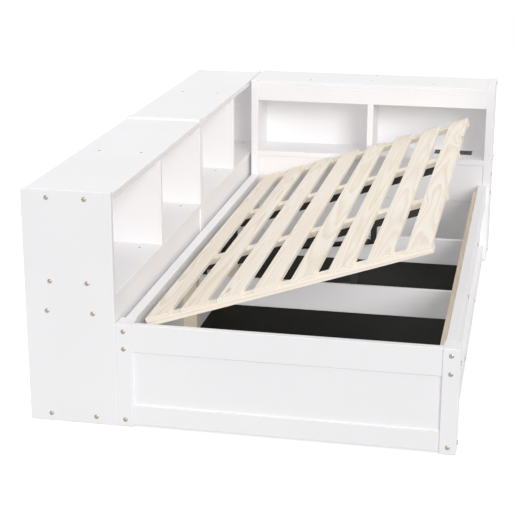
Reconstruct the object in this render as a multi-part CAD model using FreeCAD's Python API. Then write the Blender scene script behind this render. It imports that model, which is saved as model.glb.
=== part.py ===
"""Lift-up storage bed with a bookcase headboard and a long side bookcase.

The bed platform is a slatted deck hinged along its left edge, drawn part open.
Lengths are in millimetres: X runs from the side bookcase towards the free side,
Y from the foot to the headboard and Z up.  Pieces are drawn from the bookcase's
outer front corner on the floor and moved to the middle of the footprint last.
"""
import FreeCAD, Part
import math
import os

V = FreeCAD.Vector

# ---- Driving dimensions --------------------------------------------------
# Side bookcase
CASE_DEPTH = 281.0
CASE_HEIGHT = 746.0
END_T = 20.0
TOP_T = 22.0
TOP_DROP = 6.0
SHELF_TOP = 425.0
SHELF_T = 22.0
DIVIDER_T = 20.0
BACK_T = 5.0
BACK_INSET = 3.0
BASE_FRONT_T = 18.0
BASE_FRONT_RECESS = 4.0
BOTTOM_Z = 15.0
BOTTOM_T = 18.0
# Bed frame
BED_WIDTH = 1041.0
BED_LENGTH = 1950.0
POST_WIDTH = 51.0
POST_DEPTH = 67.0
FRAME_HEIGHT = 335.0
RAIL_T = 32.0
RAIL_SETBACK = 15.0
TOP_RAIL_H = 89.0
FOOT_CLEARANCE = 6.0
BOTTOM_RAIL_H = 66.0
FOOTBOARD_T = 22.0
FOOTBOARD_SETBACK = 4.0
PANEL_T = 10.0
PANEL_TONGUE = 8.0
SIDE_PANEL_T = 16.0
CLEAT_W = 20.0
CLEAT_H = 20.0
# Headboard bookcase
HEAD_DEPTH = 265.0
HEAD_GAP = 12.0
HEAD_END_T = 31.0
HEAD_TOP_T = 20.0
HEAD_TOP_DROP = 2.0
APRON_H = 64.0
APRON_T = 18.0
HEAD_SHELF_TOP = 440.0
HEAD_SHELF_T = 22.0
HEAD_DIVIDER_T = 25.0
INNER_BACK_FROM_FRONT = 196.0
LOWER_RAIL_H = 82.0
LOWER_PANEL_H = 78.0
LOWER_RECESS = 4.0
OUTLET_W = 150.0
OUTLET_D = 62.0
OUTLET_H = 42.0
OUTLET_RIM = 4.0
OUTLET_FROM_RIGHT = 60.0
OUTLET_FROM_BACK = 30.0
SOCKET_R = 15.0
SOCKET_DEPTH = 3.0
# Storage bay
BEAM_T = 16.0
BEAM_H = 100.0
BEAM_TOP = 277.0
BEAM_1_PAST_BATTEN = 1.0
BEAM_2_PAST_BATTEN = 18.0
BLOCK_W = 45.0
BLOCK_D = 42.0
FLOOR_T = 9.0
STRIP_W = 60.0
STRIP_COUNT = 6
# Slatted deck
SLAT_COUNT = 8
SLAT_W = 78.0
SLAT_T = 12.0
SLAT_ROUND = 3.0
DECK_SIDE_GAP = 1.0
DECK_FRONT_Y = 88.0
DECK_HEAD_GAP = 10.0
BATTEN_W = 55.0
BATTEN_T = 18.0
DECK_OPEN_DEG = 18.8
HINGE_FROM_RAIL = 44.0
HINGE_BELOW_FRAME = 26.0
HINGE_INSET = 14.0
HINGE_BELOW_TOP = 25.0
# Lift mechanism
ARM_W = 36.0
ARM_H = 26.0
ARM_WALL = 2.0
ARM_START = 150.0
ARM_END = 830.0
PLATE_T = 3.0
EYE_R = 11.5
PIN_R = 5.0
PIN_CLEARANCE = 0.06
STRUT_R = 10.0
STRUT_WALL = 1.6
STRUT_BODY = 300.0
ROD_R = 4.5
PISTON_CLEARANCE = 0.4
STRUT_LOW_BELOW_HINGE = 123.0
STRUT_HIGH_PAST_HINGE = 540.0
STRUT_HIGH_BELOW_HINGE = 49.0
STRUT_TO_PLATE = 2.0
EAR_GAP = 4.0
SLOT_CLEARANCE = 1.5
DROP_LEAN = 50.0
DROP_W = 32.0
FOOT_PLATE_D = 48.0
FOOT_PLATE_BELOW_FRAME = 60.0
FOOT_PLATE_H = 110.0
# Fasteners, edges and clearances
BOLT_HEAD_R = 7.5
BOLT_HEAD_H = 2.6
BOLT_SHANK_R = 3.5
BOLT_SHANK = 14.0
SCREW_HEAD_R = 5.0
SCREW_HEAD_H = 0.8
HEAD_SIDES = 10
SHANK_SIDES = 6
ROD_SIDES = 24
SHELF_SCREW_FROM_FRONT = 67.0
SHELF_SCREW_BEFORE_WALL = 40.0
END_BOLT_FROM_OUTER = 80.0
END_BOLT_FROM_BED = 83.0
LOW_BOLT_FROM_OUTER = 67.0
LOW_BOLT_FROM_BED = 68.0
BOLT_BELOW_TOP = 19.0
BOLT_ABOVE_SHELF = 34.0
BOLT_BELOW_SHELF = 61.5
POST_BOLT_BELOW_TOP = 22.0
POST_BOLT_ABOVE_RAIL = 10.0
SIDE_BOLT_ABOVE_RAIL = 25.0
SIDE_BOLT_FROM_POST_BACK = 10.0
LOW_POST_BOLT_Z = 17.0
HEAD_BOLT_FROM_BACK = 20.0
HEAD_BOLT_BELOW_TOP = 14.0
HEAD_BOLT_BELOW_SHELF = 32.0
HEAD_MIDDLE_BOLT_FROM_BACK = 115.0
HEAD_LOW_BOLT_BELOW_SHELF = 89.0
HEAD_LOW_BOLT_FROM_BACK = 123.0
HEAD_RAIL_BOLT_PAST_BED = 82.0
HEAD_RAIL_BOLT_BELOW_FRAME = 51.0
HEAD_FOOT_BOLT_PAST_BED = 98.0
HEAD_SCREW_SPREAD = 262.0
HEAD_SIDE_SCREW_PAST_BED = 72.0
HEAD_MIDDLE_SCREW_PAST_BED = 101.0
HEAD_MIDDLE_SCREW_FROM_BACK = 26.0
EDGE_BREAK = 1.5
GAP = 0.3

# ---- Derived places ------------------------------------------------------
LENGTH = BED_LENGTH + HEAD_DEPTH
WIDTH = CASE_DEPTH + BED_WIDTH
MODULE = LENGTH / 2
BED_LEFT = CASE_DEPTH
BED_RIGHT = WIDTH
RAIL_L0 = BED_LEFT + RAIL_SETBACK
RAIL_L1 = RAIL_L0 + RAIL_T
RAIL_R1 = BED_RIGHT - RAIL_SETBACK
RAIL_R0 = RAIL_R1 - RAIL_T
RAIL_BOTTOM = FRAME_HEIGHT - TOP_RAIL_H
LOW_RAIL_TOP = FOOT_CLEARANCE + BOTTOM_RAIL_H
HEAD_X0 = CASE_DEPTH + HEAD_GAP
HEAD_X1 = BED_RIGHT
CASE_TOP = CASE_HEIGHT - TOP_DROP
CASE_CEILING = CASE_TOP - TOP_T
CASE_BACK_FACE = BACK_INSET + BACK_T
HEAD_TOP = CASE_HEIGHT - HEAD_TOP_DROP
HEAD_CEILING = HEAD_TOP - HEAD_TOP_T
HEAD_BACK_FACE = LENGTH - BACK_INSET - BACK_T
HINGE_X = RAIL_L1 + HINGE_FROM_RAIL
HINGE_Z = FRAME_HEIGHT - HINGE_BELOW_FRAME
STRUT_LOW_X = HINGE_X
STRUT_LOW_Z = HINGE_Z - STRUT_LOW_BELOW_HINGE
STRUT_HIGH_X = HINGE_X + STRUT_HIGH_PAST_HINGE
STRUT_HIGH_Z = HINGE_Z - STRUT_HIGH_BELOW_HINGE
DECK_THICKNESS = SLAT_T + BATTEN_T
DECK_LEFT = HINGE_X - HINGE_INSET
DECK_WIDTH = RAIL_R0 - DECK_SIDE_GAP - DECK_LEFT
DECK_LENGTH = BED_LENGTH - DECK_HEAD_GAP - DECK_FRONT_Y
DECK_TOP = HINGE_Z + HINGE_BELOW_TOP
DECK_BOTTOM = DECK_TOP - DECK_THICKNESS
CLEAT_TOP = DECK_BOTTOM - GAP
FOOT_PLATE_TOP = FRAME_HEIGHT - FOOT_PLATE_BELOW_FRAME
FOOT_PLATE_BOTTOM = FOOT_PLATE_TOP - FOOT_PLATE_H
FLOOR_TOP = FOOT_CLEARANCE + FLOOR_T
BEAM_BOTTOM = BEAM_TOP - BEAM_H
BATTEN_PITCH = (DECK_LENGTH - BATTEN_W) / 3
FRONT_BATTEN_Y = DECK_FRONT_Y + BATTEN_PITCH
REAR_BATTEN_Y = DECK_FRONT_Y + 2 * BATTEN_PITCH
BEAM_1_Y = FRONT_BATTEN_Y + BEAM_1_PAST_BATTEN
BEAM_2_Y = REAR_BATTEN_Y + BEAM_2_PAST_BATTEN
ARM_INSET = (BATTEN_W - ARM_W) / 2

pieces = {}


def box(x0, x1, y0, y1, z0, z1):
    """A block between two corners."""
    return Part.makeBox(x1 - x0, y1 - y0, z1 - z0, V(x0, y0, z0))


def board(x0, x1, y0, y1, z0, z1, edge=EDGE_BREAK):
    """A board with all its sharp edges broken."""
    block = box(x0, x1, y0, y1, z0, z1)
    return block.makeChamfer(edge, block.Edges)


def plate(outline, y0, thickness):
    """A flat plate in the XZ plane from a closed list of (x, z) corners."""
    points = [V(x, y0, z) for x, z in outline + outline[:1]]
    return Part.Face(Part.makePolygon(points)).extrude(V(0, thickness, 0))


def ring(centre, along, radius, sides):
    """A closed many-sided ring of corners about a point."""
    start = V(0, 0, 1) if abs(along.z) < 0.5 else V(1, 0, 0)
    across = along.cross(start)
    corners = []
    for index in range(sides + 1):
        turn = 2 * math.pi * (index % sides) / sides
        corners.append(centre + start * (radius * math.cos(turn))
                       + across * (radius * math.sin(turn)))
    return Part.makePolygon(corners)


def faceted(start, along, radii_and_heights, sides):
    """A many-sided turned shape from a list of radius and height pairs."""
    rings = [ring(start + along * height, along, radius, sides)
             for radius, height in radii_and_heights]
    return Part.makeLoft(rings, True, True)


def rod(start, along, radius, length):
    """A round bar from a point along a direction, drawn with flat sides."""
    return faceted(start, along, [(radius, 0), (radius, length)], ROD_SIDES)


def bolt(seat, outward):
    """A domed bolt whose head sits on a face and whose shank goes inward."""
    head = faceted(seat, outward, [(BOLT_HEAD_R, 0), (BOLT_HEAD_R, BOLT_HEAD_H * 0.4),
                                   (BOLT_HEAD_R * 0.6, BOLT_HEAD_H)], HEAD_SIDES)
    shank = faceted(seat, outward, [(BOLT_SHANK_R, -BOLT_SHANK), (BOLT_SHANK_R, 0)],
                    SHANK_SIDES)
    return head.fuse(shank)


def drill(name, seat, outward):
    """Cut the hole that a bolt or screw shank passes into."""
    radius = BOLT_SHANK_R + PIN_CLEARANCE
    hole = faceted(seat, outward, [(radius, -BOLT_SHANK - 1), (radius, 1)], SHANK_SIDES)
    pieces[name] = pieces[name].cut(hole)


def screw(name, face):
    """A flat-headed screw let in flush with the upper face of a board."""
    up = V(0, 0, 1)
    seat = face - up * SCREW_HEAD_H
    sink_r = SCREW_HEAD_R + PIN_CLEARANCE
    sink = faceted(seat, up, [(sink_r, 0), (sink_r, SCREW_HEAD_H + 1)], HEAD_SIDES)
    pieces[name] = pieces[name].cut(sink)
    drill(name, seat, up)
    head = faceted(seat, up, [(SCREW_HEAD_R, 0), (SCREW_HEAD_R, SCREW_HEAD_H)], HEAD_SIDES)
    shank = faceted(seat, up, [(BOLT_SHANK_R, -BOLT_SHANK), (BOLT_SHANK_R, 0)], SHANK_SIDES)
    return head.fuse(shank)


# ---- Side bookcase -------------------------------------------------------
def side_bookcase():
    """Two bookcase modules end to end, open towards the bed."""
    for name, y in (("front", 0.0), ("centre_front", MODULE - END_T),
                    ("centre_rear", MODULE), ("rear", LENGTH - END_T)):
        panel = board(0, CASE_DEPTH, y, y + END_T, 0, CASE_HEIGHT)
        pieces["side_bookcase_end_panel_" + name] = panel
    backs = []
    bottoms = []
    for name, start in (("front", 0.0), ("rear", MODULE)):
        y0 = start + END_T
        y1 = start + MODULE - END_T
        middle = (y0 + y1) / 2
        front = CASE_DEPTH - BASE_FRONT_RECESS
        top = board(0, CASE_DEPTH, y0, y1, CASE_CEILING, CASE_TOP)
        shelf = board(CASE_BACK_FACE, CASE_DEPTH, y0, y1, SHELF_TOP - SHELF_T, SHELF_TOP)
        divider = board(CASE_BACK_FACE, CASE_DEPTH, middle - DIVIDER_T / 2,
                        middle + DIVIDER_T / 2, SHELF_TOP, CASE_CEILING)
        base = board(front - BASE_FRONT_T, front, y0, y1, 0, SHELF_TOP - SHELF_T)
        pieces["side_bookcase_top_" + name] = top
        pieces["side_bookcase_shelf_" + name] = shelf
        pieces["side_bookcase_divider_" + name] = divider
        pieces["side_bookcase_base_front_" + name] = base
        backs.append(box(BACK_INSET, CASE_BACK_FACE, y0, y1, 0, CASE_CEILING))
        bottoms.append(box(CASE_BACK_FACE, front - BASE_FRONT_T, y0, y1,
                           BOTTOM_Z, BOTTOM_Z + BOTTOM_T))
    pieces["side_bookcase_back_panels"] = Part.makeCompound(backs)
    pieces["side_bookcase_bottom_boards"] = Part.makeCompound(bottoms)


# ---- Headboard bookcase --------------------------------------------------
def outlet_box(clearance):
    """Space of the outlet's body in the shelf, grown by a clearance."""
    x1 = HEAD_X1 - HEAD_END_T - OUTLET_FROM_RIGHT + clearance
    y1 = BED_LENGTH + INNER_BACK_FROM_FRONT - OUTLET_FROM_BACK + clearance
    x0 = x1 - OUTLET_W - 2 * clearance
    y0 = y1 - OUTLET_D - 2 * clearance
    return x0, x1, y0, y1


def headboard():
    """Two open compartments over a closed lower front."""
    y0 = BED_LENGTH
    inner0 = HEAD_X0 + HEAD_END_T
    inner1 = HEAD_X1 - HEAD_END_T
    inner_back = y0 + INNER_BACK_FROM_FRONT
    rail_top = HEAD_SHELF_TOP - HEAD_SHELF_T
    rail_bottom = rail_top - LOWER_RAIL_H
    middle = (inner0 + inner1) / 2
    left = board(HEAD_X0, inner0, y0, LENGTH, 0, CASE_HEIGHT)
    right = board(inner1, HEAD_X1, y0, LENGTH, 0, CASE_HEIGHT)
    shelf = board(inner0, inner1, y0, HEAD_BACK_FACE, rail_top, HEAD_SHELF_TOP)
    x0, x1, oy0, oy1 = outlet_box(GAP)
    shelf = shelf.cut(box(x0, x1, oy0, oy1, rail_top - 1, HEAD_SHELF_TOP + 1))
    divider = board(middle - HEAD_DIVIDER_T / 2, middle + HEAD_DIVIDER_T / 2,
                    y0 + APRON_T, inner_back, HEAD_SHELF_TOP, HEAD_CEILING)
    nose = board(middle - HEAD_DIVIDER_T / 2, middle + HEAD_DIVIDER_T / 2,
                 y0, y0 + 2 * APRON_T, HEAD_SHELF_TOP, HEAD_CEILING - APRON_H)
    lower_front = y0 + LOWER_RECESS
    pieces["headboard_end_panel_left"] = left
    pieces["headboard_end_panel_right"] = right
    pieces["headboard_top"] = board(inner0, inner1, y0, LENGTH, HEAD_CEILING, HEAD_TOP)
    pieces["headboard_apron"] = board(inner0, inner1, y0, y0 + APRON_T,
                                      HEAD_CEILING - APRON_H, HEAD_CEILING)
    pieces["headboard_shelf"] = shelf
    pieces["headboard_divider"] = divider.fuse(nose).removeSplitter()
    pieces["headboard_inner_back"] = box(inner0, inner1, inner_back, inner_back + BACK_T,
                                         HEAD_SHELF_TOP, HEAD_CEILING)
    pieces["headboard_outer_back"] = box(inner0, inner1, HEAD_BACK_FACE,
                                         HEAD_BACK_FACE + BACK_T, 0, HEAD_CEILING)
    pieces["headboard_lower_rail"] = board(inner0, inner1, lower_front, lower_front + APRON_T,
                                           rail_bottom, rail_top)
    panel_bottom = rail_bottom - LOWER_PANEL_H
    skirt_front = lower_front + LOWER_RECESS
    panel = board(inner0, inner1, lower_front, lower_front + APRON_T,
                  panel_bottom, rail_bottom)
    skirt = board(inner0, inner1, skirt_front, skirt_front + APRON_T, 0, panel_bottom)
    pieces["headboard_lower_panels"] = Part.makeCompound([panel, skirt])
    pieces["headboard_power_outlet"] = power_outlet()


def power_outlet():
    """A charging outlet set into the shelf, with two sockets and two ports."""
    x0, x1, y0, y1 = outlet_box(0)
    rim = OUTLET_RIM
    body = box(x0, x1, y0, y1, HEAD_SHELF_TOP - OUTLET_H, HEAD_SHELF_TOP)
    flange = board(x0 - rim, x1 + rim, y0 - rim, y1 + rim,
                   HEAD_SHELF_TOP, HEAD_SHELF_TOP + 2, 0.6)
    outlet = body.fuse(flange).removeSplitter()
    middle = (y0 + y1) / 2
    top = HEAD_SHELF_TOP + 2
    for share in (0.22, 0.56):
        centre = V(x0 + share * (x1 - x0), middle, top - SOCKET_DEPTH)
        outlet = outlet.cut(rod(centre, V(0, 0, 1), SOCKET_R, SOCKET_DEPTH + 1))
    for offset in (-SOCKET_R * 0.7, SOCKET_R * 0.7):
        x = x0 + 0.86 * (x1 - x0)
        port = box(x - 7, x + 7, middle + offset - 3, middle + offset + 3,
                   top - SOCKET_DEPTH, top + 1)
        outlet = outlet.cut(port)
    return outlet


# ---- Bed frame -----------------------------------------------------------
def bed_frame():
    """Posts, panelled footboard, side rails and the deck's cleat."""
    post_in_l = BED_LEFT + POST_WIDTH
    post_in_r = BED_RIGHT - POST_WIDTH
    face = FOOTBOARD_SETBACK
    back = face + FOOTBOARD_T
    pieces["foot_post_left"] = board(BED_LEFT, post_in_l, 0, POST_DEPTH, 0, FRAME_HEIGHT, 2)
    pieces["foot_post_right"] = board(post_in_r, BED_RIGHT, 0, POST_DEPTH,
                                      0, FRAME_HEIGHT, 2)
    panel_y = face + (FOOTBOARD_T - PANEL_T) / 2
    panel = box(post_in_l, post_in_r, panel_y, panel_y + PANEL_T,
                LOW_RAIL_TOP - PANEL_TONGUE, RAIL_BOTTOM + PANEL_TONGUE)
    top = board(post_in_l, post_in_r, face, back, RAIL_BOTTOM, FRAME_HEIGHT)
    low = board(post_in_l, post_in_r, face, back, FOOT_CLEARANCE, LOW_RAIL_TOP)
    pieces["footboard_panel"] = panel
    pieces["footboard_top_rail"] = top.cut(panel)
    pieces["footboard_bottom_rail"] = low.cut(panel)
    panels = []
    low_rails = []
    for side, x0 in (("left", RAIL_L0), ("right", RAIL_R0)):
        x1 = x0 + RAIL_T
        inner = x1 - SIDE_PANEL_T if side == "left" else x0
        pieces["side_rail_" + side] = board(x0, x1, POST_DEPTH, BED_LENGTH,
                                            RAIL_BOTTOM, FRAME_HEIGHT)
        panels.append(box(inner, inner + SIDE_PANEL_T, POST_DEPTH, BED_LENGTH,
                          LOW_RAIL_TOP, RAIL_BOTTOM))
        low_rails.append(board(x0, x1, POST_DEPTH, BED_LENGTH, FOOT_CLEARANCE, LOW_RAIL_TOP))
    pieces["side_panels"] = Part.makeCompound(panels)
    pieces["side_bottom_rails"] = Part.makeCompound(low_rails)
    pieces["deck_cleat"] = board(RAIL_R0 - CLEAT_W, RAIL_R0, POST_DEPTH, BED_LENGTH,
                                 CLEAT_TOP - CLEAT_H, CLEAT_TOP, 1)


def storage():
    """Two cross beams, their end blocks and the floor of the storage space."""
    pieces["cross_beam_front"] = board(RAIL_L1, RAIL_R0, BEAM_1_Y, BEAM_1_Y + BEAM_T,
                                       BEAM_BOTTOM, BEAM_TOP)
    pieces["cross_beam_rear"] = board(RAIL_L1, RAIL_R0, BEAM_2_Y, BEAM_2_Y + BEAM_T,
                                      BEAM_BOTTOM, BEAM_TOP)
    blocks = []
    for y in (BEAM_1_Y - BLOCK_D, BEAM_2_Y + BEAM_T):
        blocks.append(board(RAIL_L1, RAIL_L1 + BLOCK_W, y, y + BLOCK_D, FLOOR_TOP,
                            min(BEAM_TOP, CLEAT_TOP - CLEAT_H), 1))
    pieces["beam_blocks"] = Part.makeCompound(blocks)
    run = BED_LENGTH - FOOTBOARD_SETBACK - FOOTBOARD_T
    start = FOOTBOARD_SETBACK + FOOTBOARD_T
    span = run / 3
    floors = []
    for bay in range(3):
        floors.append(box(RAIL_L1, RAIL_R0, start + bay * span + GAP,
                          start + (bay + 1) * span - GAP, FOOT_CLEARANCE, FLOOR_TOP))
    corners = box(BED_LEFT, BED_RIGHT, 0, POST_DEPTH, 0, FRAME_HEIGHT)
    inside = box(BED_LEFT + POST_WIDTH, BED_RIGHT - POST_WIDTH, 0, POST_DEPTH, 0, FRAME_HEIGHT)
    floors[0] = floors[0].cut(corners.cut(inside))
    pieces["storage_floor_boards"] = Part.makeCompound(floors)
    strips = []
    for index in range(STRIP_COUNT):
        y = start + STRIP_W + index * (run - 3 * STRIP_W) / (STRIP_COUNT - 1)
        strips.append(box(RAIL_L0, RAIL_R1, y, y + STRIP_W, 0, FOOT_CLEARANCE))
    pieces["floor_strips"] = Part.makeCompound(strips)


# ---- Slatted deck, drawn closed and then opened --------------------------
def open_deck(shape):
    """Turn a deck piece about the hinge line from closed to its rest angle."""
    turned = shape.copy()
    turned.rotate(V(HINGE_X, 0, HINGE_Z), V(0, -1, 0), DECK_OPEN_DEG)
    return turned


def rear_eye_plane():
    """Y of the rear arm's side plate, on the arm's foot side."""
    return REAR_BATTEN_Y + ARM_INSET - PLATE_T


def mirror_pair(shape):
    """Copy a rear mechanism piece to the front one, mirrored between them."""
    middle = (FRONT_BATTEN_Y + REAR_BATTEN_Y + BATTEN_W) / 2
    return shape.mirror(V(0, middle, 0), V(0, 1, 0))


def slats():
    """Lengthwise slats with rounded top edges."""
    pitch = (DECK_WIDTH - SLAT_W) / (SLAT_COUNT - 1)
    for index in range(SLAT_COUNT):
        x0 = DECK_LEFT + index * pitch
        slat = box(x0, x0 + SLAT_W, DECK_FRONT_Y, DECK_FRONT_Y + DECK_LENGTH,
                   DECK_TOP - SLAT_T, DECK_TOP)
        rounds = [e for e in slat.Edges if e.CenterOfMass.z > DECK_TOP - 1
                  and e.Length > DECK_LENGTH / 2]
        slat = slat.makeFillet(SLAT_ROUND, rounds)
        pieces["deck_slat_%d" % (index + 1)] = open_deck(slat)


def battens():
    """Cross battens; the two on the arms are slotted for the hinge plates."""
    names = ("foot", "front_lift", "rear_lift", "head")
    slot = box(DECK_LEFT - 1, HINGE_X + 3 * EYE_R + SLOT_CLEARANCE, REAR_BATTEN_Y - 1,
               rear_eye_plane() + PLATE_T + SLOT_CLEARANCE, DECK_BOTTOM - 1, DECK_TOP - SLAT_T)
    for index, name in enumerate(names):
        y0 = DECK_FRONT_Y + index * BATTEN_PITCH
        batten = board(DECK_LEFT, DECK_LEFT + DECK_WIDTH, y0, y0 + BATTEN_W,
                       DECK_BOTTOM, DECK_TOP - SLAT_T, 1)
        if name == "rear_lift":
            batten = batten.cut(slot)
        if name == "front_lift":
            batten = batten.cut(mirror_pair(slot))
        pieces["deck_batten_" + name] = open_deck(batten)


def strut_top_closed():
    """Where the strut's upper pin lies when the deck is shut."""
    pin = Part.Vertex(STRUT_HIGH_X, 0, STRUT_HIGH_Z)
    pin.rotate(V(HINGE_X, 0, HINGE_Z), V(0, -1, 0), -DECK_OPEN_DEG)
    return pin.Point


def lift_arm():
    """Steel tube under a batten, with a hinge eye and a drop plate."""
    y0 = rear_eye_plane()
    tube_y = y0 + PLATE_T
    x0 = DECK_LEFT + ARM_START
    x1 = DECK_LEFT + ARM_END
    low = DECK_BOTTOM - ARM_H
    tube = box(x0, x1, tube_y, tube_y + ARM_W, low, DECK_BOTTOM)
    hollow = box(x0 - 1, x1 + 1, tube_y + ARM_WALL, tube_y + ARM_W - ARM_WALL,
                 low + ARM_WALL, DECK_BOTTOM - ARM_WALL)
    tube = tube.cut(hollow)
    pin = strut_top_closed()
    hinge_x = HINGE_X
    neck = plate([(hinge_x - EYE_R, HINGE_Z), (hinge_x, HINGE_Z - EYE_R),
                  (hinge_x + EYE_R, low), (x1, low), (x1, DECK_BOTTOM),
                  (hinge_x + 3 * EYE_R, DECK_BOTTOM), (hinge_x + EYE_R, HINGE_Z)],
                 y0, PLATE_T)
    neck = neck.fuse(rod(V(hinge_x, y0, HINGE_Z), V(0, 1, 0), EYE_R, PLATE_T))
    drop = plate([(pin.x - EYE_R, pin.z), (pin.x + EYE_R, pin.z),
                  (pin.x + DROP_LEAN + DROP_W, low), (pin.x + DROP_LEAN, low)], y0, PLATE_T)
    drop = drop.fuse(rod(V(pin.x, y0, pin.z), V(0, 1, 0), EYE_R, PLATE_T))
    boss = rod(V(pin.x, y0, pin.z), V(0, -1, 0), PIN_R + 2, STRUT_TO_PLATE - GAP)
    arm = tube.fuse([neck, drop, boss]).removeSplitter()
    hole = rod(V(hinge_x, y0 - 1, HINGE_Z), V(0, 1, 0), PIN_R + PIN_CLEARANCE, PLATE_T + 2)
    return open_deck(arm.cut(hole))


def strut_centre():
    """Y of the strut's centre line beside the rear arm."""
    return rear_eye_plane() - STRUT_TO_PLATE - STRUT_R


def base_bracket():
    """Steel angle on the side rail with the hinge pin and the strut's pin."""
    ear_y1 = strut_centre() - STRUT_R - EAR_GAP
    ear_y0 = ear_y1 - PLATE_T
    wall = RAIL_L1
    foot = box(wall, wall + PLATE_T, ear_y1 - FOOT_PLATE_D, ear_y1,
               FOOT_PLATE_BOTTOM, FOOT_PLATE_TOP)
    for z in (FOOT_PLATE_BOTTOM + 20, FOOT_PLATE_TOP - 20):
        seat = V(wall, (ear_y0 + ear_y1 - FOOT_PLATE_D) / 2, z)
        foot = foot.cut(rod(seat - V(1, 0, 0), V(1, 0, 0), PIN_R, PLATE_T + 2))
    ear = plate([(wall, FOOT_PLATE_BOTTOM), (STRUT_LOW_X + EYE_R, STRUT_LOW_Z - EYE_R),
                 (STRUT_LOW_X + EYE_R, HINGE_Z), (HINGE_X - EYE_R, HINGE_Z),
                 (HINGE_X - EYE_R, FOOT_PLATE_TOP), (wall, FOOT_PLATE_TOP)], ear_y0, PLATE_T)
    ear = ear.fuse(rod(V(HINGE_X, ear_y0, HINGE_Z), V(0, 1, 0), EYE_R, PLATE_T))
    hinge_pin = rod(V(HINGE_X, ear_y0, HINGE_Z), V(0, 1, 0), PIN_R,
                    rear_eye_plane() + PLATE_T - ear_y0)
    strut_pin = rod(V(STRUT_LOW_X, ear_y0, STRUT_LOW_Z), V(0, 1, 0), PIN_R,
                    strut_centre() + STRUT_R - ear_y0)
    return foot.fuse([ear, hinge_pin, strut_pin]).removeSplitter()


def along_strut(shape):
    """Lay a strut piece, drawn along +X from its lower pin, on its line."""
    rise = math.atan2(STRUT_HIGH_Z - STRUT_LOW_Z, STRUT_HIGH_X - STRUT_LOW_X)
    placed = shape.copy()
    placed.rotate(V(0, 0, 0), V(0, -1, 0), math.degrees(rise))
    placed.translate(V(STRUT_LOW_X, strut_centre(), STRUT_LOW_Z))
    return placed


def strut_pieces():
    """Gas strut: a rod with its eye and piston, and a tube closed by a knob."""
    length = math.hypot(STRUT_HIGH_X - STRUT_LOW_X, STRUT_HIGH_Z - STRUT_LOW_Z)
    tube_start = length - STRUT_BODY
    bore = STRUT_R - STRUT_WALL
    x_axis = V(1, 0, 0)
    piston_at = length - STRUT_BODY * 0.45
    stem = rod(V(PIN_R + 3, 0, 0), x_axis, ROD_R, piston_at - PIN_R - 3)
    piston = rod(V(piston_at, 0, 0), x_axis, bore - PISTON_CLEARANCE, 14)
    eye = rod(V(0, -ROD_R - 2, 0), V(0, 1, 0), PIN_R + 5, 2 * ROD_R + 4)
    hole = rod(V(0, -STRUT_R, 0), V(0, 1, 0), PIN_R + PIN_CLEARANCE, 2 * STRUT_R)
    inner = stem.fuse([piston, eye]).cut(hole).removeSplitter()
    tube = rod(V(tube_start, 0, 0), x_axis, STRUT_R, STRUT_BODY)
    bands = [math.radians(angle) for angle in (-70, -45, -20, 0, 20, 45, 70)]
    knob = faceted(V(length, 0, 0), x_axis,
                   [(STRUT_R * math.cos(a), STRUT_R * math.sin(a)) for a in bands], ROD_SIDES)
    chamber = rod(V(tube_start + 12, 0, 0), x_axis, bore, STRUT_BODY - 12 - 1.5 * STRUT_R)
    guide = rod(V(tube_start - 1, 0, 0), x_axis, ROD_R + PIN_CLEARANCE, 20)
    outer = tube.fuse(knob).cut(chamber).cut(guide).removeSplitter()
    return along_strut(inner), along_strut(outer)


def lift_mechanism():
    """Both lift units: the rear one and its mirror behind the front batten."""
    bracket = base_bracket()
    arm = lift_arm()
    inner, outer = strut_pieces()
    for name, shape in (("lift_base_bracket", bracket), ("lift_arm", arm)):
        pieces[name + "s"] = Part.makeCompound([shape, mirror_pair(shape)])
    pieces["strut_rod_rear"] = inner
    pieces["strut_rod_front"] = mirror_pair(inner)
    pieces["strut_cylinder_rear"] = outer
    pieces["strut_cylinder_front"] = mirror_pair(outer)


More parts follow.
